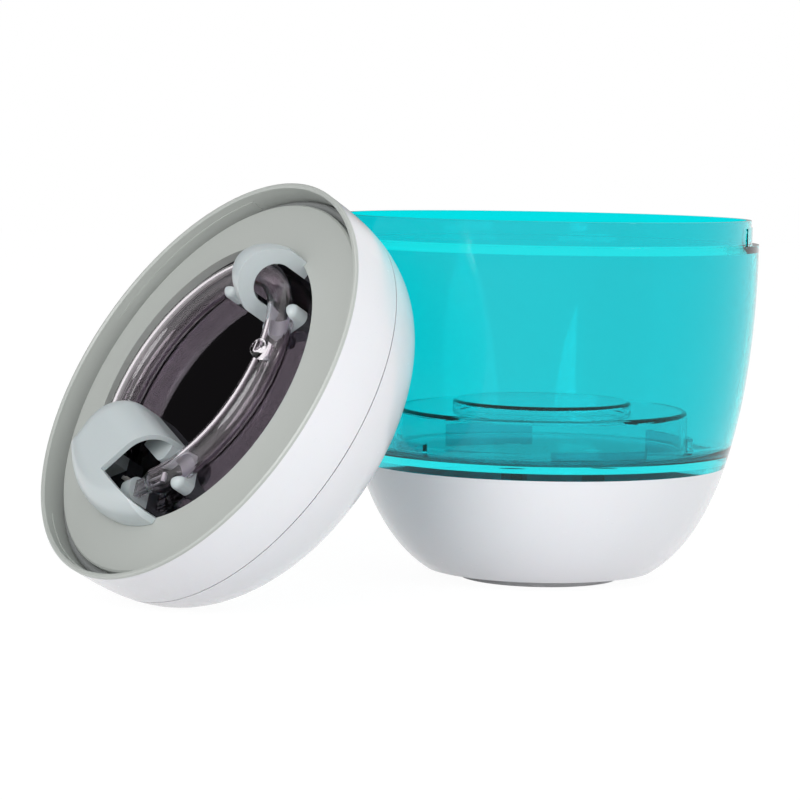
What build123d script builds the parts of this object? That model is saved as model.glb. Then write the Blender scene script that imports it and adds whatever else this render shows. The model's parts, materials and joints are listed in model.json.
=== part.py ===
from build123d import *
import os
from math import asin, atan2, cos, degrees, hypot, radians, sin, tan

# Round sterilizer case for pacifiers: a clear bowl on an opaque base, with its lamp lid taken off
# and leaning against it. Millimetres, +Z up, the bowl's axis on Z, its foot on z = 0.
os.makedirs("parts", exist_ok=True)
from_below = (Align.CENTER, Align.CENTER, Align.MIN)

# ---- Bowl: outer form
shoulder_radius = 64.0     # widest radius, at the ledge that carries the lid
shoulder_height = 101.9    # the ledge above the table
bowl_power = 2.1           # how soon the side starts to draw in below the ledge
bowl_root = 0.29           # how round the bottom is
bowl_sink = 3.3            # the round form would end this far below the table
split_height = 35.1        # where the clear tank meets the base
# ---- Tank
tank_wall = 1.9
tank_floor = 2.2
floor_rise = 4.0           # top of the tank's floor, above the split
floor_height = split_height + floor_rise
floor_corner = 4.0
lip_height = 7.2           # the lip stands this far above the ledge
ledge_width = 2.4          # the lip stands in from the widest radius
lip_radius = shoulder_radius - ledge_width
lip_wall = 1.5
bead_proud = 0.15
bead_height = 0.8
key_angle = -11.0          # the key block on the lip, from +X
key_span = 15.0            # degrees
key_proud = 0.35
key_height = 5.2
skirt_drop = 5.8           # the tank's skirt reaches this far into the base
skirt_wall = 1.8
tab_count = 6              # snap tabs on the skirt
tab_width = 9.0
tab_proud = 0.6
tab_height = 2.0
boss_count = 3
boss_circle = 16.0
boss_radius = 3.4
# ---- Base
base_wall = 2.3
base_floor = 2.4
fit_gap = 0.1              # between fixed pieces that nest
foot_radius = 24.0
foot_proud = 2.8           # the foot stands this far below the base
foot_recess = 1.1          # and reaches this far into it
foot_thick = foot_proud + foot_recess
screw_radius = 1.5
screw_head = 2.8
screw_head_high = 1.0
screw_length = 9.0
# ---- Tray
tray_radius = 43.9
tray_height = 12.2
tray_wall = 1.6
tray_corner = 1.2
tray_seat_gap = 0.05       # between the tray's foot and the tank's floor
disc_radius = 27.0         # raised disc on the tray
disc_height = 2.4
rest_count = 4             # rest blocks round the tank's floor
rest_span = 38.0           # degrees
rest_height = 3.4
rest_thick = 1.6
rest_gap = 0.6             # from the tray's side

# ---- Lid: outer form, rim at z = 0 in its own frame, open side up
lid_step = 0.5             # the ledge stands out past the lid
lid_radius = shoulder_radius - lid_step
lid_depth = 43.1
lid_power = 2.97
lid_root = 0.2564
lean_angle = 31.46         # the open side points this far above level
lean_azimuth = 215.65      # and this way, seen from above
lean_side = -4.8           # the lid stands this far off the line to the bowl's axis
lean_gap = 0.3             # between the lid and the bowl
# ---- Lid shells
lip_gap = 0.4              # between the lip and the lid's rim
rim_inner = lip_radius + lip_gap
rim_thick = 1.1
rim_wall = 0.7
rail_count = 3
rail_span = 55.0           # degrees
rail_start = 110.0
rail_proud = 0.2
rail_low = 3.0             # the rails start this far below the rim
groove_spare = 1.4         # the groove is this much deeper than the lip is high
groove_depth = lip_height + groove_spare
groove_floor = 1.6
seam_depth = 17.0          # where the white skirt meets the dome
seam_gap = 0.35
lid_wall = 2.2
tongue_wall = 1.4
tongue_rise = 3.0
mount_tabs = 4
mount_tab_width = 9.0
mount_tab_thick = 1.6
tab_start = 8.0
lid_screw_radius = 1.3
lid_screw_head = 2.2
lid_screw_head_high = 1.4
lid_screw_length = 9.0
lid_boss_radius = 2.9
# ---- Plate, mirror and seal
lip_room = 0.9             # between the plate and the inside of the lip
plate_radius = lip_radius - lip_wall - lip_room
mount_tab_inset = 4.7
mount_tab_circle = plate_radius - mount_tab_inset
plate_edge_depth = 4.9     # below the rim at the plate's outer edge
opening_radius = 44.2
opening_depth = 2.9        # below the rim at the opening
plate_wall = 1.8
opening_wall = 1.6
mirror_depth = 5.6
mirror_thick = 0.8
mirror_lap = 1.8           # the mirror reaches this far past the opening
seal_gap = 0.2
seal_high = 1.7
seal_lip = 0.5
# ---- Lamp
lamp_radius = 3.85
lamp_wall = 0.9
lamp_long = 35.2           # half length of the oval loop
lamp_short = 29.1          # half width
lamp_end_arc = 25.0        # bend radius at the ends of the oval
lamp_lift = 0.45           # between the tube and the mirror
lamp_end_half_gap = 18.0
hood_axis = 70.0           # the line through both hoods
tip_angle = 17.0           # where the sealed filling stub stands
tip_out = 1.6              # the stub's axis lies this far outside the tube's
tip_radius = 2.9
tip_rise = 2.3
pinch_wide = 5.0
pinch_thick = 1.8
pinch_long = 4.5
lead_radius = 0.35
lead_apart = 2.4
coil_radius = 0.8
# ---- Hoods
hood_wall = 1.6
hood_reach = 1.8           # the hoods stand this far out over the plate's opening
hood_circle = opening_radius + hood_reach
lower_near = 16.2          # the lower hood's side next to the middle of the lid
lower_back = 23.5          # its length behind the line through both hoods
lower_front = 27.5         # and in front of it, past its mouth
lower_corner = 13.5
lower_top = 8.8            # above the rim
lower_round = 9.2
mouth_from = 6.4           # the mouth starts here at its outer side
mouth_outer = 35.0         # that side, from the lid's axis
mouth_slant = 20.0         # degrees
flap_front = 13.5          # the low flap beside the mouth ends here
flap_wide = 7.0
flap_top = -1.2
flap_corner = 3.0
upper_inset = 0.5          # the upper hood's middle, inside the crest of the lamp
upper_half_wide = 11.8
upper_clip = 10.3          # its sides are cut off flat here
upper_top = 12.6           # above the rim
upper_face = 7.0
upper_long = 20.0
face_thick = 2.2           # the wall of its face, round the arch
arch_half_wide = 6.1
arch_top = 7.1
pass_gap = 0.8             # round the tube where it enters a hood
# ---- Saddles and end block
saddle_angles = (-61.0, 39.0, 101.0)
saddle_long = 5.0
saddle_wide = 13.0
saddle_top = 1.4           # above the lamp's middle
saddle_round = 2.2
saddle_gap = 0.1
holder_long = 4.0
holder_wide = 8.0
holder_high = 7.0
holder_round = 3.0
# ---- Boards
board_thick = 1.6
main_long = 82.0
main_wide = 72.0
main_corner = 4.0          # cut off each corner of the main board
board_gap = 0.4            # between the groove's underside and the main board
main_depth = groove_depth + groove_floor + board_gap
post_inset = 4.0           # from the board's edges to its screws
post_x = main_long / 2 - post_inset
post_y = main_wide / 2 - post_inset
post_radius = 2.2
board_screw_radius = 1.0
board_screw_head = 1.9
board_screw_head_high = 1.1
front_radius = 19.0        # the small board behind the button
front_post_circle = 15.5
front_post_radius = 2.4
# ---- Button and light ring
button_radius = 8.2
button_proud = 0.6
button_gap = 0.3
button_flange = 9.8
button_flange_thick = 0.9
button_travel = 1.0
stop_gap = 0.06
dish_depth = 0.5
light_ring_radius = 11.0
light_ring_lap = 1.6
light_ring_lap_thick = 0.8
switch_size = 6.0
switch_high = 3.5
switch_tip_radius = 1.7
switch_tip_high = 0.4
# ---- Interlock
interlock_angle = 349.0
interlock_inset = 0.3      # the pin stands this far inside the lip's middle
interlock_circle = lip_radius - lip_wall / 2 - interlock_inset
interlock_radius = 1.0
interlock_gap = 0.1
interlock_travel = 2.0
interlock_rise = 3.0       # above the groove's floor
interlock_drop = 2.6       # below the groove's underside
foot_block_long = 7.5
foot_block_wide = 3.0
foot_block_thick = 1.4
micro_long = 12.8
micro_wide = 5.8
micro_high = 6.5
micro_tip = 0.7
micro_hole = 1.0
micro_hole_apart = 6.5
bracket_thick = 1.6
# ---- Parts on the main board, as (x, y)
transformer_at = (14.0, 8.0)
core_wide = 6.0
core_high = 13.5
core_middle = 7.6          # the core's middle leg
core_leg = 2.6             # its outer legs
core_yoke = 2.4
window_wide = 3.6
bobbin_size = 16.0
bobbin_foot = 1.5
coil_gap = 0.1             # between the winding and the core
coil_wide = 13.6
coil_round = 3.0
can_sizes = ((-12.0, 18.0, 5.0, 13.0), (-24.0, 14.0, 4.0, 11.0), (-12.0, 5.0, 3.2, 9.0))
can_crimp = 0.35
chip_at = (-6.0, -12.0)
transistor_row = -14.0
transistor_places = (8.0, 20.0)
transistor_wide = 10.0
transistor_high = 9.4
buzzer_at = (-26.0, -4.0)
buzzer_radius = 6.0
buzzer_high = 5.5
plug_long = 9.0
plug_wide = 5.0
plug_high = 6.0
plug_wall = 0.8
lamp_plug = (-20.0, -20.0)
inlet_plug = (-26.0, 26.5)
link_plug = (30.0, -2.0)
wire_radius = 0.6
wire_bend = 2.0
wire_drop = 2.6            # the leads hang this far under the plugs
# ---- Power inlet
jack_angle = 150.0
jack_depth = 27.0          # the inlet's axis, below the rim
jack_body = 8.0
jack_length = 12.0
jack_bore = 3.1
jack_pin = 1.0
jack_neck = 4.4
jack_back = 3.0            # the inlet's block starts this far inside the dome's surface


def bowl_radius(height):
    """Outer radius of the bowl at a height above the table."""
    share = (shoulder_height - height) / (shoulder_height + bowl_sink)
    return shoulder_radius * (1 - max(share, 0.0) ** bowl_power) ** bowl_root


def lid_radius_at(depth, inset=0.0):
    """Outer radius of the lid at a depth below its rim, or that of its inner wall."""
    share = min(max(depth, 0.0) / (lid_depth - inset), 1.0)
    return (lid_radius - inset) * (1 - share ** lid_power) ** lid_root


def steps(low, high, count):
    return [low + (high - low) * index / (count - 1) for index in range(count)]


def turned(*lines):
    """Solid of revolution about Z from outline pieces drawn as (radius, height)."""
    edges = [edge for line in lines for edge in line.edges()]
    return revolve(Plane.XZ * make_face(edges), Axis.Z)


def ring(outer, inner, low, high):
    tube = Cylinder(outer, high - low, align=from_below) - Cylinder(inner, high - low, align=from_below)
    return Pos(0, 0, low) * tube


def rod(radius, low, high, x=0.0, y=0.0):
    return Pos(x, y, low) * Cylinder(radius, high - low, align=from_below)


def block(long, wide, low, high, x=0.0, y=0.0):
    return Pos(x, y, low) * Box(long, wide, high - low, align=from_below)


def around(count, shape, start=0.0):
    """Copies of a shape, evenly spaced about Z."""
    return [Rot(0, 0, start + 360 * index / count) * shape for index in range(count)]


def sector(outer, inner, low, high, middle, span):
    """Part of a ring, span degrees wide about the middle angle."""
    half = span / 2
    face = make_face([
        *CenterArc((0, 0), outer, middle - half, span).edges(),
        *CenterArc((0, 0), inner, middle - half, span).edges(),
        *Line(polar(inner, middle - half), polar(outer, middle - half)).edges(),
        *Line(polar(inner, middle + half), polar(outer, middle + half)).edges(),
    ])
    return Pos(0, 0, low) * extrude(face, high - low)


def polar(radius, angle):
    return (radius * cos(radians(angle)), radius * sin(radians(angle)))


def screw(shank, head, head_high, length):
    """Screw that points down, its head's seat at z = 0, with a cross in the head."""
    body = rod(shank, -length, 0) + rod(head, 0, head_high)
    slot = head * 1.2
    width = head * 0.3
    cross = block(slot, width, head_high / 2, head_high) + block(width, slot, head_high / 2, head_high)
    return body - cross


def save(name, *shapes):
    solids = [solid for shape in shapes for solid in shape.solids()]
    result = solids[0] if len(solids) == 1 else Compound(children=solids)
    export_step(result, f"parts/{name}.step")
    return result


# ================ Bowl ================
skirt_low = split_height - skirt_drop
skirt_outer = bowl_radius(skirt_low) - base_wall - fit_gap
lip_top = shoulder_height + lip_height
lip_inner = lip_radius - lip_wall
base_low = foot_proud
base_floor_top = base_low + base_floor
floor_under = floor_height - tank_floor


def tank_inner(height):
    return bowl_radius(height) - tank_wall


def make_tank():
    outer = Spline([(bowl_radius(z), z) for z in steps(split_height, shoulder_height, 7)])
    wall_top = shoulder_height - 2.2
    lip = Polyline(
        (bowl_radius(shoulder_height), shoulder_height), (lip_radius, shoulder_height),
        (lip_radius, lip_top), (lip_inner, lip_top), (lip_inner, shoulder_height + 0.4),
        (tank_inner(wall_top), wall_top),
    )
    corner_top = floor_height + floor_corner
    inner = Spline([(tank_inner(z), z) for z in steps(wall_top, corner_top, 6)])
    corner_centre = tank_inner(corner_top) - floor_corner
    reach = floor_corner * cos(radians(45))
    corner = ThreePointArc(
        (tank_inner(corner_top), corner_top), (corner_centre + reach, corner_top - reach),
        (corner_centre, floor_height),
    )
    under = Polyline(
        (corner_centre, floor_height), (0, floor_height), (0, floor_under),
        (skirt_outer - skirt_wall, floor_under), (skirt_outer - skirt_wall, skirt_low),
        (skirt_outer, skirt_low), (skirt_outer, split_height), (bowl_radius(split_height), split_height),
    )
    tank = turned(outer, lip, inner, corner, under)
    bead_low = shoulder_height + lip_height / 2
    tank += ring(lip_radius + bead_proud, lip_inner + 0.2, bead_low, bead_low + bead_height)
    key_low = shoulder_height - 0.2
    tank += sector(lip_radius + key_proud, lip_inner + 0.2, key_low, key_low + key_height, key_angle, key_span)
    tab_low = skirt_low + 1.0
    tab = block(skirt_wall, tab_width, tab_low, tab_low + tab_height, skirt_outer + tab_proud - skirt_wall / 2)
    for piece in around(tab_count, tab, 30):
        tank += piece
    tray_side = tray_radius + rest_gap
    rest = sector(tray_side + rest_thick, tray_side, floor_height - 0.2, floor_height + rest_height, 0, rest_span)
    for piece in around(rest_count, rest, 20):
        tank += piece
    boss = rod(boss_radius, base_floor_top, floor_under + 0.2, boss_circle)
    bore = rod(screw_radius, base_floor_top - 0.1, base_floor_top + screw_length, boss_circle)
    for piece in around(boss_count, boss):
        tank += piece
    for piece in around(boss_count, bore):
        tank -= piece
    return tank


def make_base():
    low_radius = bowl_radius(base_low)
    shares = (0.0, 0.05, 0.17, 0.36, 0.6, 1.0)
    heights = [base_low + (split_height - base_low) * share for share in shares]
    outer = Spline([(bowl_radius(z), z) for z in heights])
    seat = skirt_outer + fit_gap
    seat_low = skirt_low - 0.6
    rise = Polyline((bowl_radius(split_height), split_height), (seat, split_height), (seat, seat_low))
    inner_low = base_floor_top + 2.0
    inner_heights = [seat_low - (seat_low - inner_low) * share for share in (0.0, 0.4, 0.7, 1.0)]
    radii = [seat] + [bowl_radius(z) - base_wall * 1.25 for z in inner_heights[1:]]
    inner = Spline(list(zip(radii, inner_heights)))
    floor = Polyline(
        (radii[-1], inner_heights[-1]), (radii[-1] - 2.5, base_floor_top), (0, base_floor_top),
        (0, base_low), (low_radius, base_low),
    )
    base = turned(outer, rise, inner, floor)
    base -= rod(foot_radius + 0.1, base_low - 0.1, foot_thick)
    tab_low = skirt_low + 1.0
    pocket_high = tab_low + tab_height + 0.15
    pocket = block(tab_proud + 1.4, tab_width + 0.4, tab_low - 0.15, pocket_high, skirt_outer)
    for piece in around(tab_count, pocket, 30):
        base -= piece
    hole = rod(screw_radius + 0.15, 0, base_floor_top + 1, boss_circle)
    for piece in around(boss_count, hole):
        base -= piece
    return base


def make_base_screws():
    # The heads lie in the foot's recess, so the foot has a pocket for each
    one = Rot(180, 0, 0) * screw(screw_radius - 0.02, screw_head, screw_head_high, screw_length)
    return around(boss_count, Pos(boss_circle, 0, foot_thick) * one)


def make_foot():
    foot = rod(foot_radius, 0, foot_thick)
    groove = ring(foot_radius - 5, foot_radius - 6, 0, 0.4)
    foot -= groove
    pocket = rod(screw_head + 0.3, foot_thick - screw_head_high - 0.1, foot_thick + 1, boss_circle)
    for piece in around(boss_count, pocket):
        foot -= piece
    return foot


def make_tray():
    low = floor_height + tray_seat_gap
    top = low + tray_height
    tray = rod(tray_radius, low, top)
    tray = fillet(tray.edges().group_by(Axis.Z)[-1], tray_corner)
    disc = rod(disc_radius, top - 0.2, top + disc_height)
    disc = fillet(disc.edges().group_by(Axis.Z)[-1], tray_corner)
    tray += disc
    tray -= rod(tray_radius - tray_wall, low - 1, top - tray_wall)
    tray -= rod(disc_radius - tray_wall, low - 1, top + disc_height - tray_wall)
    return tray


# ================ Lid, in its own frame ================
def make_skirt():
    top = -rim_thick
    shelf_low = -groove_depth - groove_floor - 0.1
    seat = rim_inner + rim_wall + 0.05
    seam_outer = lid_radius_at(seam_depth)
    outer = Spline([(lid_radius_at(-z), z) for z in steps(top, -seam_depth, 4)])
    tongue_outer = lid_radius_at(seam_depth + tongue_rise, lid_wall) - fit_gap
    inside = Polyline(
        (seam_outer, -seam_depth), (tongue_outer, -seam_depth),
        (tongue_outer, -seam_depth - tongue_rise), (tongue_outer - tongue_wall, -seam_depth - tongue_rise),
        (tongue_outer - tongue_wall, shelf_low - 1.6), (plate_radius - 1.6, shelf_low - 1.6),
        (plate_radius - 1.6, shelf_low), (seat, shelf_low), (seat, top), (lid_radius_at(-top), top),
    )
    skirt = turned(outer, inside)
    tab_low = shelf_low - mount_tab_thick
    tab = block(2 * (plate_radius - mount_tab_circle) + mount_tab_width / 2, mount_tab_width, tab_low, shelf_low,
                mount_tab_circle + 1.0)
    hole = rod(lid_screw_radius + 0.15, tab_low - 1, shelf_low + 1, mount_tab_circle)
    for piece in around(mount_tabs, tab - hole, tab_start):
        skirt += piece
    edge = interlock_circle + interlock_radius + 0.25
    notch_low = -seam_depth - tongue_rise - 1
    notch = rod(edge, notch_low, shelf_low + 1)
    notch = notch & block(edge, micro_long + 2, notch_low, shelf_low + 1, edge)
    return skirt - Rot(0, 0, interlock_angle) * notch


def make_rim_ring():
    low = -groove_depth - groove_floor - 0.1
    outer_edge = lid_radius
    lines = Polyline(
        (rim_inner + 0.5, 0), (outer_edge - 0.4, 0), (outer_edge, -0.4), (outer_edge, -rim_thick),
        (rim_inner + rim_wall, -rim_thick), (rim_inner + rim_wall, low), (rim_inner, low),
        (rim_inner, -0.5), (rim_inner + 0.5, 0),
    )
    rim = turned(lines)
    rail = sector(rim_inner + 0.2, rim_inner - rail_proud, low, -rail_low, 0, rail_span)
    for piece in around(rail_count, rail, rail_start + rail_span / 2):
        rim += piece
    return rim


def make_plate():
    floor_top = -groove_depth
    floor_low = floor_top - groove_floor
    flange_edge = rim_inner - rail_proud - 0.05
    inner_wall = plate_radius - plate_wall
    lines = Polyline(
        (opening_radius, -opening_depth), (plate_radius - 0.5, -plate_edge_depth), (plate_radius, -plate_edge_depth - 0.5),
        (plate_radius, floor_top), (flange_edge, floor_top), (flange_edge, floor_low), (inner_wall, floor_low),
        (inner_wall, -plate_edge_depth - plate_wall), (opening_radius + opening_wall, -opening_depth - plate_wall),
        (opening_radius + opening_wall, -mirror_depth), (opening_radius, -mirror_depth),
        (opening_radius, -opening_depth),
    )
    plate = turned(lines)
    post_top = -plate_edge_depth - 0.4
    for x in (-post_x, post_x):
        for y in (-post_y, post_y):
            plate += rod(post_radius, -main_depth, post_top, x, y)
            plate -= rod(board_screw_radius - 0.1, -main_depth - 1, -main_depth + 3.0, x, y)
    plate += make_switch_bracket()
    x, y = polar(interlock_circle, interlock_angle)
    return plate - rod(interlock_radius + interlock_gap, floor_low - 2, floor_top + 1, x, y)


def make_seal():
    low = -groove_depth
    top = low + seal_high
    inner = plate_radius + seal_gap
    outer = rim_inner - rail_proud - seal_gap
    lines = Polyline(
        (inner, low), (outer, low), (outer, top - seal_lip), ((inner + outer) / 2 + 0.4, top),
        ((inner + outer) / 2 - 0.4, top), (inner, top - seal_lip), (inner, low),
    )
    seal = turned(lines)
    x, y = polar(interlock_circle, interlock_angle)
    return seal - rod(interlock_radius + 0.3, low - 1, top + 1, x, y)


def make_mirror():
    mirror = rod(opening_radius + mirror_lap, -mirror_depth - mirror_thick, -mirror_depth)
    return mirror - rod(lead_hole, -mirror_depth - 2, -mirror_depth + 1, *lead_place)


# The lamp's loop is an oval of tangent arcs, drawn with its long axis on X and turned to the hoods
lead_place = polar(lamp_long - 0.6, hood_axis + 180)
lead_hole = 2.4
tube_height = -mirror_depth + lamp_radius + lamp_lift
end_centre = lamp_long - lamp_end_arc
side_arc = (lamp_short ** 2 + end_centre ** 2 - lamp_end_arc ** 2) / (2 * (lamp_short - lamp_end_arc))
side_centre = side_arc - lamp_short
turn_over = degrees(atan2(side_centre, end_centre))
lamp_end_angle = 180 - degrees(asin(lamp_end_half_gap / lamp_end_arc))


def lamp_arcs():
    """Centre, radius, start angle and sweep of the arcs, from the lower right end round to the left."""
    return [
        ((-end_centre, 0), lamp_end_arc, -lamp_end_angle, lamp_end_angle - (180 - turn_over)),
        ((0, side_centre), side_arc, -(180 - turn_over), 180 - 2 * turn_over),
        ((end_centre, 0), lamp_end_arc, -turn_over, 2 * turn_over),
        ((0, -side_centre), side_arc, turn_over, 180 - 2 * turn_over),
        ((-end_centre, 0), lamp_end_arc, 180 - turn_over, lamp_end_angle - (180 - turn_over)),
    ]


def bent_rod(radius):
    """Rod of a given radius along the lamp's loop."""
    pieces = []
    for centre, bend, start, sweep_angle in lamp_arcs():
        section = Pos(bend, 0, 0) * Plane.XZ * Circle(radius)
        piece = revolve(section, Axis.Z, sweep_angle)
        pieces.append(Pos(centre[0], centre[1], tube_height) * Rot(0, 0, start) * piece)
    loop = pieces[0]
    for piece in pieces[1:]:
        loop += piece
    return loop


def lamp_point(side):
    """Centre of a tube end and its outward direction, in the oval's frame; side is 1 or -1."""
    x = -end_centre + lamp_end_arc * cos(radians(lamp_end_angle))
    y = side * lamp_end_arc * sin(radians(lamp_end_angle))
    heading = side * (lamp_end_angle + 90)
    return x, y, heading


def at_lamp_end(side, shape):
    """Moves a shape drawn along +X from the origin onto a tube end."""
    x, y, heading = lamp_point(side)
    return Pos(x, y, tube_height) * Rot(0, 0, heading) * shape


def side_point(angle):
    """Point of the loop at an angle of the lid, with its heading, in the oval's frame."""
    local = angle - hood_axis
    low, high = 0.0, lamp_long * 1.2
    for _ in range(40):
        middle = (low + high) / 2
        x, y = polar(middle, local)
        low, high = (middle, high) if inside_loop(x, y) else (low, middle)
    x, y = polar(low, local)
    return x, y, local + 90


def inside_loop(x, y):
    x, y = abs(x), abs(y)
    if y > (x - end_centre) * side_centre / end_centre:
        return hypot(x, y + side_centre) < side_arc
    return hypot(x - end_centre, y) < lamp_end_arc


to_hoods = Rot(0, 0, hood_axis)


def make_lamp():
    bore = lamp_radius - lamp_wall
    glass = bent_rod(lamp_radius)
    hollow = bent_rod(bore)
    x, y, heading = side_point(tip_angle)
    out_x, out_y = polar(tip_out, heading - 90)
    x, y = x + out_x, y + out_y
    tip_top = tube_height + lamp_radius + tip_rise
    stub = rod(tip_radius, tube_height, tip_top, x, y)
    stub = fillet(stub.edges().group_by(Axis.Z)[-1], tip_radius * 0.55)
    glass += stub
    for side in (-1, 1):
        pinch = Pos(lamp_radius * 0.6, 0, 0) * Box(pinch_long + lamp_radius * 0.4, pinch_wide, pinch_thick,
                                                  align=(Align.MIN, Align.CENTER, Align.CENTER))
        glass += at_lamp_end(side, Sphere(lamp_radius) + pinch)
        hollow += at_lamp_end(side, Sphere(bore))
    glass -= hollow
    for side in (-1, 1):
        for lead in lead_rods(side, lead_radius):
            glass -= lead
    return to_hoods * glass


def lead_rods(side, radius):
    """The two straight leads through a pinched end."""
    length = lamp_radius + pinch_long + 6.0
    lead = Pos(-3.0, 0, 0) * Rot(0, 90, 0) * Cylinder(radius, length, align=from_below)
    return [at_lamp_end(side, Pos(0, shift, 0) * lead) for shift in (-lead_apart / 2, lead_apart / 2)]


def make_electrodes():
    """A coil carried by two leads at each end."""
    assemblies = []
    for side in (-1, 1):
        coil = Pos(-3.0, 0, 0) * Rot(90, 0, 0) * Cylinder(coil_radius, lead_apart + 0.6)
        group = at_lamp_end(side, coil)
        for lead in lead_rods(side, lead_radius):
            group += lead
        assemblies.append(to_hoods * group)
    return assemblies


def make_holders():
    """End blocks that take the leads, one for each tube end, standing on the mirror."""
    blocks = []
    for side in (-1, 1):
        x, y, heading = lamp_point(side)
        reach = lamp_radius + pinch_long
        body = Pos(reach, 0, -lamp_radius - lamp_lift) * Box(
            holder_long, holder_wide, holder_high, align=(Align.MIN, Align.CENTER, Align.MIN))
        upright = body.edges().filter_by(Axis.X).group_by(Axis.Z)[-1]
        body = at_lamp_end(side, fillet(upright, holder_round))
        for lead in lead_rods(side, lead_radius):
            body -= lead
        blocks.append(to_hoods * body)
    return blocks


def make_saddles():
    """Clips that hold the tube off the mirror."""
    saddles = []
    for angle in saddle_angles:
        x, y, heading = side_point(angle)
        body = block(saddle_wide, saddle_long, -mirror_depth, tube_height + saddle_top)
        body = fillet(body.edges().filter_by(Axis.Y).group_by(Axis.Z)[-1], saddle_round)
        body = fillet(body.edges().filter_by(Axis.Z), saddle_round)
        trough = Rot(90, 0, 0) * Cylinder(lamp_radius + saddle_gap, saddle_long * 3)
        body -= Pos(0, 0, tube_height) * trough
        body -= block((lamp_radius + saddle_gap) * 2, saddle_long * 3, tube_height, tube_height + 9)
        placed = Pos(x, y, 0) * Rot(0, 0, heading - 90) * body
        saddles.append(to_hoods * (placed - bent_rod(lamp_radius + saddle_gap)))
    return saddles


def hood_seat(shape):
    """Cuts what a hood would share with the plate."""
    step = ring(hood_circle + 30, opening_radius - 0.15, -mirror_depth - 5, -opening_depth)
    return shape - step


def lower_body(inset):
    """Outer or inner form of the lower hood, radial direction on X, mouth towards +Y."""
    near = lower_near + inset
    far = hood_circle - inset
    back = inset - lower_back
    front = lower_front - inset
    corner = lower_corner - inset
    centre = Pos((near + far + corner) / 2, (back + front) / 2)
    plan = centre * RectangleRounded(far - near + corner, front - back, corner)
    plan = plan & Circle(far)
    low = -mirror_depth - (1.0 if inset else 0.0)
    body = Pos(0, 0, low) * extrude(plan, lower_top - inset - low)
    return fillet(body.edges().group_by(Axis.Z)[-1], lower_round - inset)


def make_lower_hood():
    hood = lower_body(0.0) - lower_body(hood_wall)
    beyond = 2 * hood_circle
    rise = (mouth_outer + beyond) * tan(radians(mouth_slant))
    plan = make_face(Polyline(
        (mouth_outer, mouth_from), (mouth_outer, beyond), (-beyond, beyond), (-beyond, mouth_from + rise),
        close=True,
    ))
    hood -= Pos(0, 0, -beyond) * extrude(plan, 2 * beyond)
    near = lower_near + 0.5
    flap_plan = Pos(near + flap_wide / 2, 0) * Rectangle(flap_wide, 2 * flap_front)
    flap_plan = fillet(flap_plan.vertices().group_by(Axis.Y)[-1], flap_corner)
    flap = Pos(0, 0, -mirror_depth) * extrude(flap_plan, flap_top + mirror_depth)
    hood += flap & block(beyond, flap_front, -mirror_depth, flap_top, 0, flap_front / 2)
    hood = Rot(0, 0, hood_axis + 180) * hood
    hood = hood_seat(hood)
    return hood - to_hoods * tube_passage()


def tube_passage():
    """Room for the tube, open down to the mirror."""
    room = bent_rod(lamp_radius + pass_gap)
    drop = tube_height + mirror_depth
    for centre, bend, start, sweep_angle in lamp_arcs():
        section = Plane.XZ * Pos(bend, -drop / 2) * Rectangle(2 * (lamp_radius + pass_gap), drop + 0.4)
        piece = revolve(section, Axis.Z, sweep_angle)
        room += Pos(centre[0], centre[1], tube_height) * Rot(0, 0, start) * piece
    return room


upper_centre = lamp_long - upper_inset


def upper_body(inset):
    """Outer or inner form of the upper hood, radial direction on X, mouth towards -Y."""
    half_wide = upper_half_wide - inset
    half_long = upper_long - inset - (face_thick if inset else 0.0)
    high = upper_top + mirror_depth - inset
    egg = scale(Sphere(1), by=(half_wide, half_long, high))
    low = 0.0 if inset == 0 else -1.0
    clip = upper_clip - inset
    limit = Pos(0, 0, low) * Box(2 * clip, half_long * 2, high * 2, align=(Align.CENTER, Align.MIN, Align.MIN))
    return Pos(upper_centre, -upper_face, -mirror_depth) * (egg & limit)


def make_upper_hood():
    hood = upper_body(0.0) - Pos(0, face_thick, 0) * upper_body(hood_wall)
    arch_spring = arch_top - arch_half_wide
    arch = Pos(upper_centre, 0, arch_spring) * Rot(90, 0, 0) * Cylinder(arch_half_wide, 40, align=from_below)
    legs = block(2 * arch_half_wide, 40, -mirror_depth - 2, arch_spring, upper_centre, -20)
    hood -= arch + legs
    hood = Rot(0, 0, hood_axis) * hood
    hood = hood_seat(hood)
    return hood - to_hoods * tube_passage()


# ---- Dome, button and what lies under it
crown = -lid_depth
crown_inside = crown + lid_wall
lap_top = crown_inside + light_ring_lap_thick
flange_top = lap_top + button_flange_thick
switch_tip_end = flange_top + button_travel + stop_gap
switch_face = switch_tip_end + switch_tip_high
front_board_low = switch_face + switch_high
front_board_top = front_board_low + board_thick


def dome_form(inset):
    """Closed form of the dome beyond the seam."""
    high = -seam_depth - seam_gap if inset == 0 else -seam_depth + 5
    start = -high
    end = lid_depth - inset
    shares = (1.0, 0.86, 0.66, 0.44, 0.26, 0.13, 0.05, 0.012)
    depths = [end - (end - start) * share for share in shares]
    side = Spline([(lid_radius_at(depth, inset), -depth) for depth in depths])
    last_radius = lid_radius_at(depths[-1], inset)
    crown_line = Spline([(last_radius, -depths[-1]), (last_radius * 0.6, -end + 0.03), (last_radius * 0.3, -end)])
    flat = Polyline((last_radius * 0.3, -end), (0, -end), (0, high), (lid_radius_at(start, inset), high))
    return turned(side, crown_line, flat)


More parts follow.
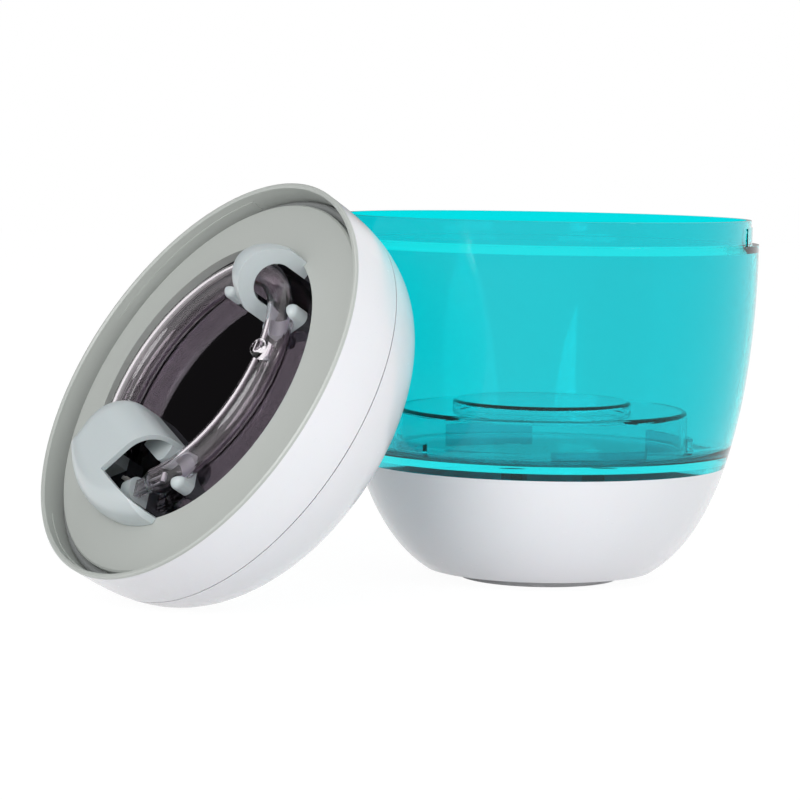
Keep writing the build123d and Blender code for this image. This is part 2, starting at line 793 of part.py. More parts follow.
def make_dome():
    outer = dome_form(0.0)
    dome = outer - dome_form(lid_wall)
    shelf_low = -groove_depth - groove_floor - 0.1
    boss_top = shelf_low - mount_tab_thick
    boss = rod(lid_boss_radius, crown, boss_top, mount_tab_circle)
    limit = dome_form(0.6) + rod(lid_radius - 3.0, -seam_depth - 3, 0)
    for piece in around(mount_tabs, boss, tab_start):
        dome += piece & limit
    bore = rod(lid_screw_radius - 0.1, boss_top - lid_screw_length, boss_top + 1, mount_tab_circle)
    for piece in around(mount_tabs, bore, tab_start):
        dome -= piece
    post = rod(front_post_radius, crown_inside - 0.3, front_board_low, front_post_circle)
    post_bore = rod(board_screw_radius - 0.1, front_board_low - 3.5, front_board_low + 1, front_post_circle)
    for piece in around(3, post, 90):
        dome += piece
    for piece in around(3, post_bore, 90):
        dome -= piece
    dome -= rod(light_ring_radius + 0.05, crown - 2, crown_inside + 0.5)
    dome -= rod(light_ring_radius + light_ring_lap + 0.05, crown_inside, lap_top)
    return dome - jack_hole()


def make_light_ring():
    bore = button_radius + button_gap
    guide = ring(light_ring_radius, bore, crown, crown_inside)
    lap = ring(light_ring_radius + light_ring_lap, bore, crown_inside, lap_top)
    return guide + lap


def make_button():
    low = crown - button_proud
    button = rod(button_radius, low, lap_top) + rod(button_flange, lap_top, flange_top)
    rim = button.edges().group_by(Axis.Z)[0]
    button = fillet(rim, 0.5)
    dish = Pos(0, 0, low - 40 + dish_depth) * Sphere(40)
    return button - (dish & rod(button_radius * 0.75, low - 1, low + 2))


def make_tact_switch():
    body = block(switch_size, switch_size, switch_face, front_board_low)
    body = chamfer(body.edges().filter_by(Axis.Z), 0.4)
    return body + rod(switch_tip_radius, switch_tip_end, switch_face)


def make_front_board():
    board = rod(front_radius, front_board_low, front_board_top)
    for piece in around(3, rod(board_screw_radius + 0.1, front_board_low - 1, front_board_top + 1,
                               front_post_circle), 90):
        board -= piece
    return board


def make_front_screws():
    one = screw(board_screw_radius - 0.12, board_screw_head, board_screw_head_high, 4.0)
    return around(3, Pos(front_post_circle, 0, front_board_top) * one, 90)


def make_leds():
    led_circle = light_ring_radius - 0.8
    body = block(2.0, 3.0, front_board_low - 0.9, front_board_low)
    lens = Pos(0, 0, front_board_low - 0.9) * Cylinder(0.8, 0.5, align=(Align.CENTER, Align.CENTER, Align.MAX))
    return around(4, Pos(led_circle, 0, 0) * (body + lens), 30)


# ---- Main board and its parts, which hang below it
board_low = -main_depth - board_thick


def make_main_board():
    board = block(main_long, main_wide, board_low, -main_depth)
    board = chamfer(board.edges().filter_by(Axis.Z), main_corner)
    for x in (-post_x, post_x):
        for y in (-post_y, post_y):
            board -= rod(board_screw_radius + 0.1, board_low - 1, -main_depth + 1, x, y)
    return board - rod(lead_hole + 0.6, board_low - 1, -main_depth + 1, *lead_place)


def make_main_screws():
    one = Rot(180, 0, 0) * screw(board_screw_radius - 0.12, board_screw_head, board_screw_head_high, 4.0)
    return [Pos(x, y, board_low) * one for x in (-post_x, post_x) for y in (-post_y, post_y)]


def make_transformer():
    """E-core transformer: two core halves on a bobbin's foot."""
    x, y = transformer_at
    high = board_low - bobbin_foot
    low = high - core_high
    core = block(core_middle + 2 * (window_wide + core_leg), core_wide, low, high, x, y)
    shift = (core_middle + window_wide) / 2
    for side in (-shift, shift):
        core -= block(window_wide, core_wide * 2, low + core_yoke, high - core_yoke, x + side, y)
    return core + block(bobbin_size, bobbin_size, high, board_low, x, y)


def make_winding():
    """The wound coil round the transformer's middle leg, with its tape."""
    x, y = transformer_at
    high = board_low - bobbin_foot - core_yoke - 2 * coil_gap
    low = board_low - bobbin_foot - core_high + core_yoke + 2 * coil_gap
    coil = block(core_middle + 2 * window_wide - 4 * coil_gap, coil_wide, low, high, x, y)
    coil = fillet(coil.edges().filter_by(Axis.Z), coil_round)
    return coil - block(core_middle + 2 * coil_gap, core_wide + 2 * coil_gap, low - 1, high + 1, x, y)


def make_capacitors():
    cans = []
    for x, y, radius, high in can_sizes:
        can = rod(radius, board_low - high, board_low, x, y)
        can = fillet(can.edges().group_by(Axis.Z)[0], 0.5)
        can -= ring(radius + 1, radius - can_crimp, board_low - 2.4, board_low - 1.6)
        cans.append(can)
    return cans


def make_chips():
    """Driver chip and two power transistors with their tabs."""
    parts = [block(10, 6.2, board_low - 1.6, board_low, *chip_at)]
    top = board_low - 0.6
    middle = top - transistor_high
    for x in transistor_places:
        body = block(transistor_wide, 4.4, middle, top, x, transistor_row)
        legs = block(6, 0.8, top, board_low, x, transistor_row)
        tab = block(transistor_wide, 1.2, middle - 5, middle, x, transistor_row + 1.6)
        parts.append(body + legs + tab)
    return parts


def make_buzzer():
    low = board_low - buzzer_high
    can = rod(buzzer_radius, low, board_low, *buzzer_at)
    return can - rod(1.0, low - 1, low + 1, *buzzer_at)


plug_low = board_low - plug_high


def make_plugs():
    """Board connectors: lamp, inlet and button board."""
    housings = []
    for x, y in (lamp_plug, inlet_plug, link_plug):
        body = block(plug_long, plug_wide, plug_low, board_low, x, y)
        hollow = block(plug_long - 2 * plug_wall, plug_wide - 2 * plug_wall, plug_low - 1, board_low - 2, x, y)
        housings.append(body - hollow)
    return housings


# ---- Interlock
groove_under = -groove_depth - groove_floor


def make_interlock_pin():
    low = groove_under - interlock_drop
    pin = rod(interlock_radius, low, -groove_depth + interlock_rise, interlock_circle)
    pin = fillet(pin.edges().group_by(Axis.Z)[-1], 0.4)
    reach = interlock_circle + interlock_radius
    foot = block(foot_block_long, foot_block_wide, low - foot_block_thick, low, reach - foot_block_long / 2)
    return Rot(0, 0, interlock_angle) * (pin + foot)


switch_top = groove_under - interlock_drop - foot_block_thick - interlock_travel - stop_gap - micro_tip
switch_low = switch_top - micro_high
switch_circle = interlock_circle + interlock_radius - foot_block_long + 1.6 - micro_wide / 2
micro_hole_height = switch_low + micro_high * 0.35


def micro_holes(radius, long):
    """Rods across the switch, from its inner side outwards."""
    inner = switch_circle - micro_wide / 2
    across = Pos(inner, 0, micro_hole_height) * Rot(0, 90, 0) * Cylinder(radius, long, align=from_below)
    return [Pos(0, shift, 0) * across for shift in (-micro_hole_apart / 2, micro_hole_apart / 2)]


def make_interlock_switch():
    body = block(micro_wide, micro_long, switch_low, switch_top, switch_circle)
    for hole in micro_holes(micro_hole, micro_wide):
        body -= hole
    tip = block(1.2, 2.4, switch_top, switch_top + micro_tip, switch_circle + micro_wide / 2 - 0.8)
    return Rot(0, 0, interlock_angle) * (body + tip)


def make_switch_bracket():
    """Arm under the plate with two pins through the switch's holes."""
    inner = switch_circle - micro_wide / 2
    arm = block(bracket_thick, micro_long, switch_low, groove_under, inner - bracket_thick / 2)
    root = block(plate_radius - inner, micro_long, groove_under - 1.2, groove_under, (plate_radius + inner) / 2)
    root -= rod(interlock_radius + interlock_gap, groove_under - 3, groove_under + 1, interlock_circle)
    for pin in micro_holes(micro_hole - 0.05, micro_wide - 0.5):
        arm += pin
    return Rot(0, 0, interlock_angle) * (arm + root)


# ---- Power inlet, in the dome's side just beyond the seam
def jack_frame():
    """On the dome's surface, Z along its outward normal."""
    change = lid_radius_at(jack_depth + 0.1) - lid_radius_at(jack_depth - 0.1)
    droop = degrees(atan2(-change, 0.2))
    x, y = polar(lid_radius_at(jack_depth), jack_angle)
    return Pos(x, y, -jack_depth) * Rot(0, 0, jack_angle) * Rot(0, 90 + droop, 0)


def jack_hole():
    return jack_frame() * Pos(0, 0, -6) * Cylinder(jack_neck + fit_gap, 20)


def make_jack():
    """Round inlet with a centre pin, its mouth out of the dome's side."""
    body = Pos(0, 0, -jack_back) * Box(jack_body, jack_body + 1.0, jack_length,
                                       align=(Align.CENTER, Align.CENTER, Align.MAX))
    jack = body + Pos(0, 0, -jack_back) * Cylinder(jack_neck, jack_back - 0.2, align=from_below)
    jack -= Pos(0, 0, -jack_back - 8.5) * Cylinder(jack_bore, 20, align=from_below)
    jack += Pos(0, 0, -jack_back - 9.0) * Cylinder(jack_pin, 9.5, align=from_below)
    return jack_frame() * jack


def wire(radius, points):
    """Round lead along straight runs with bent corners."""
    path = FilletPolyline(*points, radius=wire_bend)
    start = path.edges()[0]
    section = Plane(origin=start @ 0, z_dir=start % 0) * Circle(radius)
    return sweep(section, path)


def make_lamp_leads():
    """Two leads from the end blocks, through the mirror and the board, to the lamp's plug."""
    hole_x, hole_y = lead_place
    low = plug_low - wire_drop
    leads = []
    for shift in (-0.8, 0.8):
        x, y = lamp_plug[0] + shift * 2, lamp_plug[1]
        leads.append(wire(wire_radius, [
            (hole_x + shift, hole_y, -mirror_depth + 3.0), (hole_x + shift, hole_y, low),
            (x, y, low), (x, y, board_low - 2.2),
        ]))
    return leads


def make_inlet_leads():
    """Two leads from the inlet's rear to its plug on the main board."""
    frame = jack_frame()
    rear = -jack_back - jack_length
    low = plug_low - wire_drop
    leads = []
    for shift in (-1.5, 1.5):
        start = (frame * Pos(1.5, shift, rear)).position
        ahead = (frame * Pos(1.5, shift, rear - 4.5)).position
        x, y = inlet_plug[0] + shift, inlet_plug[1]
        leads.append(wire(wire_radius, [
            (start.X, start.Y, start.Z), (ahead.X, ahead.Y, ahead.Z), (x, y, low), (x, y, board_low - 2.2),
        ]))
    return leads


def make_link_leads():
    """Three leads between the two boards."""
    leads = []
    high = front_board_top + 5.0
    for shift in (-2.0, 0.0, 2.0):
        x, y = link_plug[0] + shift, link_plug[1]
        leads.append(wire(wire_radius, [
            (10.0, shift, front_board_top), (10.0, shift, high), (x, y, high), (x, y, board_low - 2.2),
        ]))
    return leads


# ================ Where the lid leans ================
def lean_height():
    """Rim centre's height with the dome's lowest point on the table."""
    tilt = radians(lean_angle)
    depths = steps(0, lid_depth, 400)
    return max(depth * sin(tilt) + lid_radius_at(depth) * cos(tilt) for depth in depths)


def bowl_reach(height):
    """Outer radius of whatever the bowl has at a height, or nothing above the lip."""
    if height > lip_top:
        return 0.0
    if height > shoulder_height:
        return lip_radius + key_proud
    return bowl_radius(height)


def lean_place(reach):
    tilt, turn = radians(lean_angle), radians(lean_azimuth)
    outward = Vector(cos(turn), sin(turn), 0)
    across = Vector(-sin(turn), cos(turn), 0)
    centre = outward * reach + across * lean_side + Vector(0, 0, lean_height())
    opening = outward * cos(tilt) + Vector(0, 0, sin(tilt))
    return Plane(origin=centre, x_dir=Vector(0, 0, 1).cross(opening), z_dir=opening)


def gap_to_bowl(reach):
    """Least horizontal distance between the lid's outside and the bowl."""
    plane = lean_place(reach)
    gap = 1000.0
    for depth in steps(0, lid_depth * 0.999, 60):
        radius = lid_radius_at(depth)
        for angle in range(0, 360, 3):
            x, y = polar(radius, angle)
            point = plane.origin + plane.x_dir * x + plane.y_dir * y - plane.z_dir * depth
            if point.Z < lip_top:
                gap = min(gap, hypot(point.X, point.Y) - bowl_reach(max(point.Z, 0)))
    return gap


def lean_reach():
    near, far = shoulder_radius, 4 * shoulder_radius
    for _ in range(30):
        middle = (near + far) / 2
        near, far = (middle, far) if gap_to_bowl(middle) < lean_gap else (near, middle)
    return far


lid_plane = lean_place(lean_reach())
to_lid = lid_plane.location


def save_lid(name, *shapes):
    solids = [to_lid * solid for shape in shapes for solid in shape.solids()]
    return save(name, *solids)


save("tank", make_tank())
save("base_shell", make_base())
save("base_screws", *make_base_screws())
save("rubber_foot", make_foot())
save("pacifier_tray", make_tray())

save_lid("lid_skirt", make_skirt())
save_lid("lid_rim_ring", make_rim_ring())
save_lid("lid_dome", make_dome())
save_lid("lid_seal", make_seal())
save_lid("lamp_plate", make_plate())
save_lid("mirror", make_mirror())
save_lid("lamp_tube", make_lamp())
save_lid("lamp_electrodes", *make_electrodes())
save_lid("lamp_end_blocks", *make_holders())
save_lid("lamp_saddles", *make_saddles())
save_lid("lower_lamp_hood", make_lower_hood())
save_lid("upper_lamp_hood", make_upper_hood())
save_lid("light_ring", make_light_ring())
save_lid("power_button", make_button())
save_lid("button_switch", make_tact_switch())
save_lid("button_board", make_front_board())
save_lid("button_board_screws", *make_front_screws())
save_lid("status_leds", *make_leds())
save_lid("main_board", make_main_board())
save_lid("main_board_screws", *make_main_screws())
save_lid("transformer_core", make_transformer())
save_lid("transformer_coil", make_winding())
save_lid("capacitors", *make_capacitors())
save_lid("driver_chips", *make_chips())
save_lid("buzzer", make_buzzer())
save_lid("board_plugs", *make_plugs())
save_lid("interlock_pin", make_interlock_pin())
save_lid("interlock_switch", make_interlock_switch())
save_lid("power_inlet", make_jack())
save_lid("lamp_leads", *make_lamp_leads())
save_lid("inlet_leads", *make_inlet_leads())
save_lid("link_leads", *make_link_leads())
lid_screw = screw(lid_screw_radius - 0.12, lid_screw_head, lid_screw_head_high, lid_screw_length)
shelf = -groove_depth - groove_floor - 0.1
save_lid("lid_screws", *around(mount_tabs, Pos(mount_tab_circle, 0, shelf) * lid_screw, tab_start))

origin = lid_plane.origin
opening = lid_plane.z_dir
print("lid centre", [round(value, 2) for value in (origin.X, origin.Y, origin.Z)])
print("lid opening", [round(value, 4) for value in (opening.X, opening.Y, opening.Z)])
print("lid x", [round(value, 4) for value in (lid_plane.x_dir.X, lid_plane.x_dir.Y, lid_plane.x_dir.Z)])
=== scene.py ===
import bpy
import bmesh
import json
import math
from mathutils import Matrix, Vector

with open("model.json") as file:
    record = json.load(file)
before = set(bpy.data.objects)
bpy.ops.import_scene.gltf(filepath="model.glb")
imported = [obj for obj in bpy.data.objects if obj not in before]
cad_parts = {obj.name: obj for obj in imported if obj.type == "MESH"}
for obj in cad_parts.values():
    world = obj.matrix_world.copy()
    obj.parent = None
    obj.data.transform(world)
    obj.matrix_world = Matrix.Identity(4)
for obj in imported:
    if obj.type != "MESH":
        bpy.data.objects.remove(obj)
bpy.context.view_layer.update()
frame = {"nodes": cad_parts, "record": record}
print("frame loaded")

mm = 0.001

cameraSettings = {
    "at": (-42.94, -904.4, 131.9),   # mm
    "pitch": 4.998,                  # degrees down
    "roll": 1.008,                   # degrees
    "focal": 3000.0,                 # pixels of the image
    "imageWidth": 800,
    "sensor": 36.0,                  # mm
    "clip": (0.05, 20.0),            # m
}


def makeCamera(s):
    pitch, roll = math.radians(s["pitch"]), math.radians(s["roll"])
    ahead = Vector((0, math.cos(pitch), -math.sin(pitch)))
    level = Vector((1, 0, 0))
    upright = level.cross(ahead)
    right = level * math.cos(roll) + upright * math.sin(roll)
    up = upright * math.cos(roll) - level * math.sin(roll)
    data = bpy.data.cameras.new("camera")
    data.sensor_width = s["sensor"]
    data.lens = s["sensor"] * s["focal"] / s["imageWidth"]
    data.clip_start, data.clip_end = s["clip"]
    camera = bpy.data.objects.new("camera", data)
    bpy.context.scene.collection.objects.link(camera)
    turn = Matrix((right, up, -ahead)).transposed()
    camera.matrix_world = Matrix.Translation(Vector(s["at"]) * mm) @ turn.to_4x4()
    bpy.context.scene.camera = camera


makeCamera(cameraSettings)
print("camera set")


# a socket that can be used in expressions
class Wire:
    def __init__(self, tree, socket=None):
        self.tree, self.socket = tree, socket

    # the settings are set first, the inputs are values or other wires
    def add(self, kind, settings=None, inputs=None, out=0):
        node = self.tree.nodes.new("ShaderNode" + kind)
        for key, value in (settings or {}).items():
            setattr(node, key, value)
        for key, value in (inputs or {}).items():
            if isinstance(value, Wire):
                self.tree.links.new(value.socket, node.inputs[key])
            else:
                node.inputs[key].default_value = value
        return Wire(self.tree, node.outputs[out] if node.outputs else None)

    def maths(self, operation, first, second):
        return self.add("Math", {"operation": operation}, {0: first, 1: second})

    # inputs 6 and 7 and output 2 are the node's colours
    def mix(self, factor, first, second):
        return self.add("Mix", {"data_type": "RGBA"}, {0: factor, 6: first, 7: second}, out=2)

    def __add__(self, other):
        return self.maths("ADD", self, other)

    def __radd__(self, other):
        return self.maths("ADD", other, self)

    def __sub__(self, other):
        return self.maths("SUBTRACT", self, other)

    def __rsub__(self, other):
        return self.maths("SUBTRACT", other, self)

    def __mul__(self, other):
        return self.maths("MULTIPLY", self, other)

    def __rmul__(self, other):
        return self.maths("MULTIPLY", other, self)

    # 1 where the value is past the edge, 0 before it
    def above(self, edge, soft):
        ends = {"Value": self, "From Min": edge - soft, "From Max": edge + soft}
        return self.add("MapRange", {"interpolation_type": "SMOOTHSTEP"}, ends)


def startMaterial(name):
    material = bpy.data.materials.new(name)
    material.use_nodes = True
    material.node_tree.nodes.clear()
    wire = Wire(material.node_tree)
    return material, wire, wire.add("TexCoord", out="Object")


def noise(wire, place, scale, detail):
    return wire.add("TexNoise", None, {"Vector": place, "Scale": scale, "Detail": detail})


def stretched(wire, place, scale, turn=(0.0, 0.0, 0.0)):
    return wire.add("Mapping", None, {"Vector": place, "Rotation": turn, "Scale": scale})


def darker(colour, share):
    return tuple(part * share for part in colour) + (1.0,)


hairlineSettings = {
    "first": {"scale": (1400.0, 1300.0, 16.0), "turn": (0.4, 0.2, 0.7), "edge": 0.80},
    "second": {"scale": (18.0, 1500.0, 1200.0), "turn": (0.1, 0.6, 0.3), "edge": 0.81},
    "soft": 0.03,
}


# faint hairline scratches in two directions, as handling leaves on plastic
def scratches(wire, place):
    lines = []
    for s in (hairlineSettings["first"], hairlineSettings["second"]):
        drawn = noise(wire, stretched(wire, place, s["scale"], s["turn"]), 1.0, detail=1.0)
        lines.append(drawn.above(s["edge"], hairlineSettings["soft"]))
    return wire.maths("MAXIMUM", *lines)


mouldedSettings = {
    "driftScale": 22.0,
    "drift": 0.95,          # the darker of the two shades that it drifts between
    "driftRough": 0.08,
    "smudgeScale": 60.0,
    "smudge": 0.03,
    "grainScale": 2400.0,
    "grain": 0.5,
    "speckScale": 1500.0,
    "speckEdge": 0.72,
    "speckSoft": 0.03,
    "speckShade": 0.8,
    "speckShare": 0.15,
    "lineRough": 0.08,
    "lineDepth": 0.15,
    "bump": 0.10,
    "bumpReach": 0.0001,    # m
    "ior": 1.5,
    "coat": 0.0,
    "coatRough": 0.08,
    "clear": 0.0,
    "soft": 0.0,
    "softReach": 0.002,     # m
}


# injection-moulded plastic: slow colour drift, spark texture, smudges and hairlines
def moulded(name, given):
    s = mouldedSettings | given
    material, wire, place = startMaterial(name)
    drift = noise(wire, place, s["driftScale"], detail=3.0)
    smudge = noise(wire, place, s["smudgeScale"], detail=3.0) - 0.5
    grain = noise(wire, place, s["grainScale"], detail=2.0)
    speck = noise(wire, place, s["speckScale"], detail=1.0).above(s["speckEdge"], s["speckSoft"])
    lines = scratches(wire, place)
    colour = wire.mix(drift, darker(s["colour"], s["drift"]), darker(s["colour"], 1.0))
    colour = wire.mix(speck * s["speckShare"], colour, darker(s["colour"], s["speckShade"]))
    rough = (drift - 0.5) * s["driftRough"] + smudge * s["smudge"] + lines * s["lineRough"] + s["rough"]
    height = grain * s["grain"] - lines * s["lineDepth"]
    bump = wire.add("Bump", None, {
        "Height": height, "Strength": s["bump"], "Distance": s["bumpReach"],
    })
    shader = wire.add("BsdfPrincipled", None, {
        "Base Color": colour, "Roughness": rough, "Normal": bump, "IOR": s["ior"],
        "Coat Weight": s["coat"], "Coat Roughness": s["coatRough"],
        "Transmission Weight": s["clear"],
        "Subsurface Weight": s["soft"], "Subsurface Scale": s["softReach"],
    })
    wire.add("OutputMaterial", None, {"Surface": shader})
    return material


seeThroughSettings = {
    "driftScale": 16.0,
    "drift": 0.96,          # the darker of the two shades that it drifts between
    "rippleScale": 55.0,
    "bumpReach": 0.001,     # m
    "rough": 0.02,
    "lineRough": 0.10,
    "lineDepth": 0.02,
    "coat": 0.0,
    "coatRough": 0.02,
}


# clear plastic or glass: tinted body, moulding ripple, hairlines in the gloss
def seeThrough(name, given):
    s = seeThroughSettings | given
    material, wire, place = startMaterial(name)
    drift = noise(wire, place, s["driftScale"], detail=2.0)
    ripple = noise(wire, place, s["rippleScale"], detail=1.0)
    lines = scratches(wire, place)
    colour = wire.mix(drift, darker(s["colour"], s["drift"]), darker(s["colour"], 1.0))
    bump = wire.add("Bump", None, {
        "Height": ripple - lines * s["lineDepth"], "Strength": s["ripple"], "Distance": s["bumpReach"],
    })
    shader = wire.add("BsdfPrincipled", None, {
        "Base Color": colour, "Roughness": lines * s["lineRough"] + s["rough"], "Normal": bump,
        "IOR": s["ior"], "Transmission Weight": 1.0,
        "Coat Weight": s["coat"], "Coat Roughness": s["coatRough"],
    })
    wire.add("OutputMaterial", None, {"Surface": shader})
    return material


metalSettings = {
    "cloudScale": 40.0,
    "drift": 0.9,           # the darker of the two shades in the cloud
    "roughDrift": 0.12,
    "bump": 0.08,
    "bumpReach": 0.00005,   # m
}


# metal with a drawn or polished surface
def metal(name, given):
    s = metalSettings | given
    material, wire, place = startMaterial(name)
    drawn = noise(wire, stretched(wire, place, s["drawn"]), 1.0, detail=3.0)
    cloud = noise(wire, place, s["cloudScale"], detail=4.0)
    colour = wire.mix(cloud, darker(s["colour"], s["drift"]), darker(s["colour"], 1.0))
    bump = wire.add("Bump", None, {
        "Height": drawn, "Strength": s["bump"], "Distance": s["bumpReach"],
    })
    shader = wire.add("BsdfPrincipled", None, {
        "Base Color": colour, "Roughness": (drawn - 0.5) * s["roughDrift"] + s["rough"],
        "Normal": bump, "Metallic": 1.0,
    })
    wire.add("OutputMaterial", None, {"Surface": shader})
    return material


boardSettings = {
    "colour": (0.012, 0.10, 0.04),
    "cloudScale": 120.0,
    "drift": 0.85,          # the darker of the two shades in the cloud
    "trackColour": (0.03, 0.22, 0.08),
    "trackShare": 0.7,
    "trackScale": 260.0,
    "trackStagger": {"offset": 0.5, "squash": 0.6, "squash_frequency": 3},
    "trackWide": 0.012,
    "trackSoft": 0.2,
    "trackLong": 0.8,
    "trackApart": 0.3,
    "padColour": (0.62, 0.60, 0.56),
    "padScale": 330.0,
    "padRadius": 0.16,
    "padSoft": 0.02,
    "padMetal": 0.8,
    "rough": 0.28,
    "roughDrift": 0.1,
    "bump": 0.3,
    "bumpReach": 0.0001,    # m
}


# circuit board: solder mask with tracks and pads showing through
def boardMask(name, s):
    material, wire, place = startMaterial(name)
    tracks = wire.add("TexBrick", s["trackStagger"], {
        "Vector": place, "Scale": s["trackScale"], "Mortar Size": s["trackWide"],
        "Mortar Smooth": s["trackSoft"], "Brick Width": s["trackLong"], "Row Height": s["trackApart"],
    }, out="Fac")
    cells = wire.add("TexVoronoi", {"feature": "F1"}, {"Vector": place, "Scale": s["padScale"]})
    pads = 1.0 - cells.above(s["padRadius"], s["padSoft"])
    cloud = noise(wire, place, s["cloudScale"], detail=3.0)
    colour = wire.mix(cloud, darker(s["colour"], s["drift"]), darker(s["colour"], 1.0))
    colour = wire.mix(tracks * s["trackShare"], colour, darker(s["trackColour"], 1.0))
    colour = wire.mix(pads, colour, darker(s["padColour"], 1.0))
    bump = wire.add("Bump", None, {
        "Height": tracks + pads, "Strength": s["bump"], "Distance": s["bumpReach"],
    })
    shader = wire.add("BsdfPrincipled", None, {
        "Base Color": colour, "Roughness": cloud * s["roughDrift"] + s["rough"],
        "Normal": bump, "Metallic": pads * s["padMetal"],
    })
    wire.add("OutputMaterial", None, {"Surface": shader})
    return material


# the finish of each material slot in the record
finishes = {
    "teal_clear": seeThrough("tealClear", {
        "colour": (0.002, 0.76, 0.81), "ior": 1.2, "coat": 0.35, "ripple": 0.03,
    }),
    "clear_glass": seeThrough("lampGlass", {
        "colour": (0.97, 0.92, 0.96), "ior": 1.46, "ripple": 0.012, "rippleScale": 90.0,
        "lineRough": 0.02,
    }),
    "clear_plastic": moulded("frostedClear", {
        "colour": (0.85, 0.88, 0.92), "rough": 0.3, "clear": 0.6,
    }),
    "white_gloss": moulded("whiteGloss", {
        "colour": (0.84, 0.84, 0.875), "rough": 0.24, "coat": 0.3, "bump": 0.05, "soft": 0.05,
    }),
    "grey_plastic": moulded("greySatin", {
        "colour": (0.50, 0.525, 0.50), "rough": 0.36, "bump": 0.18,
    }),
    "hood_grey": moulded("hoodSatin", {
        "colour": (0.58, 0.64, 0.655), "rough": 0.32, "bump": 0.14, "soft": 0.05,
    }),
    "pale_rubber": moulded("paleRubber", {
        "colour": (0.26, 0.27, 0.27), "rough": 0.62, "bump": 0.4, "smudge": 0.12,
    }),
    "steel": metal("screwSteel", {
        "colour": (0.60, 0.60, 0.62), "rough": 0.3, "drawn": (2500.0, 60.0, 60.0),
    }),
    # mirror: painted shade, its colour is darkened to stand in for the dark surroundings that the bright
    # reflector shows
    "mirror": metal("mirrorPaintedDark", {
        "colour": (0.075, 0.066, 0.078), "rough": 0.04, "drift": 0.94, "roughDrift": 0.02,
        "bump": 0.01, "drawn": (90.0, 60.0, 75.0),
    }),
    "board_green": boardMask("boardGreen", boardSettings),
    "black_plastic": moulded("blackPlastic", {
        "colour": (0.02, 0.02, 0.021), "rough": 0.42, "bump": 0.3,
    }),
    "ferrite": moulded("ferrite", {
        "colour": (0.05, 0.05, 0.055), "rough": 0.58, "bump": 0.5,
    }),
    "coil_tape": moulded("coilTape", {
        "colour": (0.70, 0.40, 0.03), "rough": 0.26, "coat": 0.4,
    }),
    "can_alu": moulded("canSleeve", {
        "colour": (0.03, 0.05, 0.18), "rough": 0.24, "coat": 0.5,
    }),
    "lead_sleeve": moulded("leadSleeve", {
        "colour": (0.55, 0.03, 0.02), "rough": 0.42,
    }),
    "plug_plastic": moulded("plugPlastic", {
        "colour": (0.80, 0.76, 0.62), "rough": 0.4, "bump": 0.2,
    }),
}

# nodes whose finish differs from the rest of their slot
nodeFinishes = {
    # tray: painted light, its tint is lightened to stand in for the light that shines through it from
    # the white base
    "pacifier_tray": seeThrough("trayClearPaintedLight", {
        "colour": (0.35, 0.97, 0.98), "ior": 1.14, "coat": 0.3, "ripple": 0.02,
    }),
    # foot: painted light, its colour is lightened so that the foot in the shade under the base does not
    # show dark
    "rubber_foot": moulded("footRubberPaintedLight", {
        "colour": (0.70, 0.70, 0.71), "rough": 0.6, "bump": 0.4, "smudge": 0.12,
    }),
    "lamp_leads": moulded("paleSleeve", {
        "colour": (0.62, 0.60, 0.58), "rough": 0.4,
    }),
}

slotOf = {part["node"]: part["material_slot"] for part in frame["record"]["subparts"]}
for node, obj in frame["nodes"].items():
    obj.data.materials.clear()
    obj.data.materials.append(nodeFinishes.get(node, finishes[slotOf[node]]))
print("finishes laid on")


stageSettings = {
    "floorSize": 3.0,       # m
    "floorWhite": 1.06,     # seen straight from the camera
    "floorShare": 0.90,     # of that white, the rest is lit floor and holds the shadow
    "floorSeenIn": 0.9,     # share of that white in reflections and through clear plastic
    "floorColour": (0.8, 0.8, 0.8, 1.0),
    "floorRough": 0.9,
    "white": (1.0, 1.0, 1.0, 1.0),
    "skyLit": 0.58,         # the world as it lights matt surfaces
    "flagToward": (-0.745, 0.509, 0.429),   # the lamp's mirror looks at this dark card
    "flagDark": 0.05,
    "flagEdge": 0.42,       # cosine of the card's half angle
    "flagSoft": 0.10,
}


# 1 for rays from the camera, off glossy surfaces and through clear ones
def raySorts(wire):
    sorts = ("Is Camera Ray", "Is Glossy Ray", "Is Transmission Ray")
    return [wire.add("LightPath", out=sort) for sort in sorts]


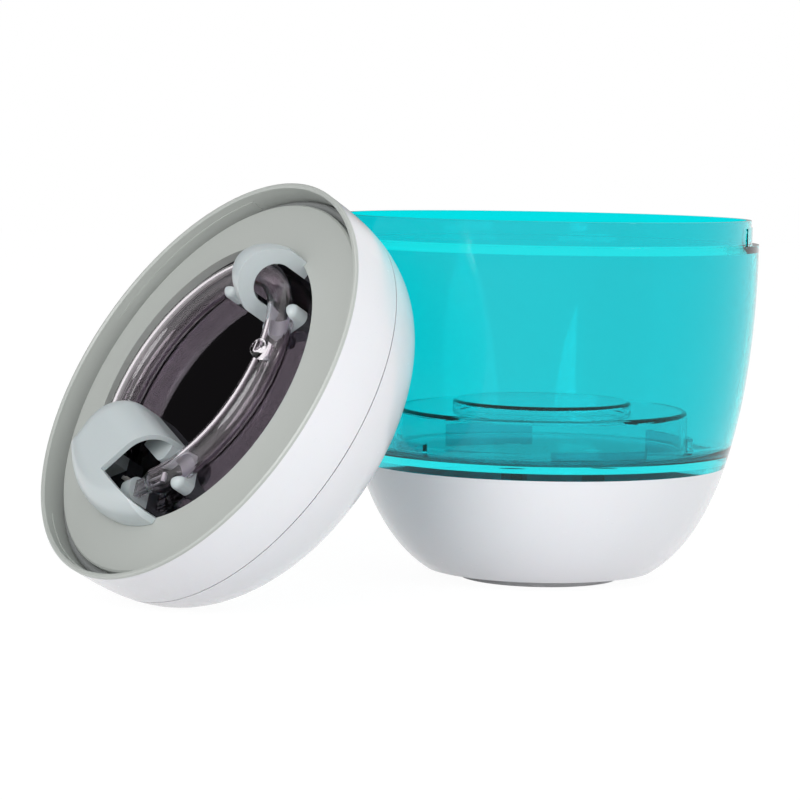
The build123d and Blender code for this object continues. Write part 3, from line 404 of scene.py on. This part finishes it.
def makeFloor(s):
    bm = bmesh.new()
    bmesh.ops.create_grid(bm, x_segments=1, y_segments=1, size=s["floorSize"])
    mesh = bpy.data.meshes.new("floor")
    bm.to_mesh(mesh)
    bm.free()
    floor = bpy.data.objects.new("floor", mesh)
    bpy.context.scene.collection.objects.link(floor)
    material, wire, _ = startMaterial("paleFloor")
    seen, glossy, through = raySorts(wire)
    matt = wire.add("BsdfPrincipled", None, {
        "Base Color": s["floorColour"], "Roughness": s["floorRough"],
    })
    glow = wire.add("Emission", None, {"Color": s["white"], "Strength": s["floorWhite"]})
    indirect = wire.maths("MAXIMUM", glossy, through) * s["floorSeenIn"]
    factor = wire.maths("MAXIMUM", seen * s["floorShare"], indirect)
    mixed = wire.add("MixShader", None, {0: factor, 1: matt, 2: glow})
    wire.add("OutputMaterial", None, {"Surface": mixed})
    floor.data.materials.append(material)


def makeWorld(s):
    world = bpy.data.worlds.new("studio")
    bpy.context.scene.world = world
    world.use_nodes = True
    world.node_tree.nodes.clear()
    wire = Wire(world.node_tree)
    seen, glossy, through = raySorts(wire)
    direction = wire.add("TexCoord", out="Generated")
    middle = Vector(s["flagToward"]).normalized()
    toward = wire.add("VectorMath", {"operation": "DOT_PRODUCT"}, {0: direction, 1: middle}, out="Value")
    card = toward.above(s["flagEdge"], s["flagSoft"]) * (s["flagDark"] - 1.0) + 1.0
    direct = wire.maths("MAXIMUM", seen, through)
    shown = wire.maths("MAXIMUM", direct, glossy * card)
    matt = (1.0 - wire.maths("MAXIMUM", direct, glossy)) * s["skyLit"]
    back = wire.add("Background", None, {"Color": s["white"], "Strength": shown + matt})
    wire.add("OutputWorld", None, {"Surface": back})


# places and sizes in metres, power in watts
lampSettings = {
    "key": {"at": (-0.6, -1.1, 0.55), "size": 0.8, "power": 7.0},
    "fill": {"at": (0.9, -0.9, 0.5), "size": 0.9, "power": 5.0},
    "top": {"at": (0.1, 0.3, 1.4), "size": 1.0, "power": 1.0},
}
lampsAim = Vector((0, 0, 0.06))


def makeLamp(name, s):
    data = bpy.data.lights.new(name, "AREA")
    data.shape, data.size, data.energy = "DISK", s["size"], s["power"]
    lamp = bpy.data.objects.new(name, data)
    bpy.context.scene.collection.objects.link(lamp)
    lamp.location = s["at"]
    aim = lampsAim - Vector(s["at"])
    lamp.rotation_euler = aim.to_track_quat("-Z", "Y").to_euler()


makeFloor(stageSettings)
makeWorld(stageSettings)
for lampName, settings in lampSettings.items():
    makeLamp(lampName, settings)
bpy.context.scene.view_settings.view_transform = "Standard"
print("stage and light set")
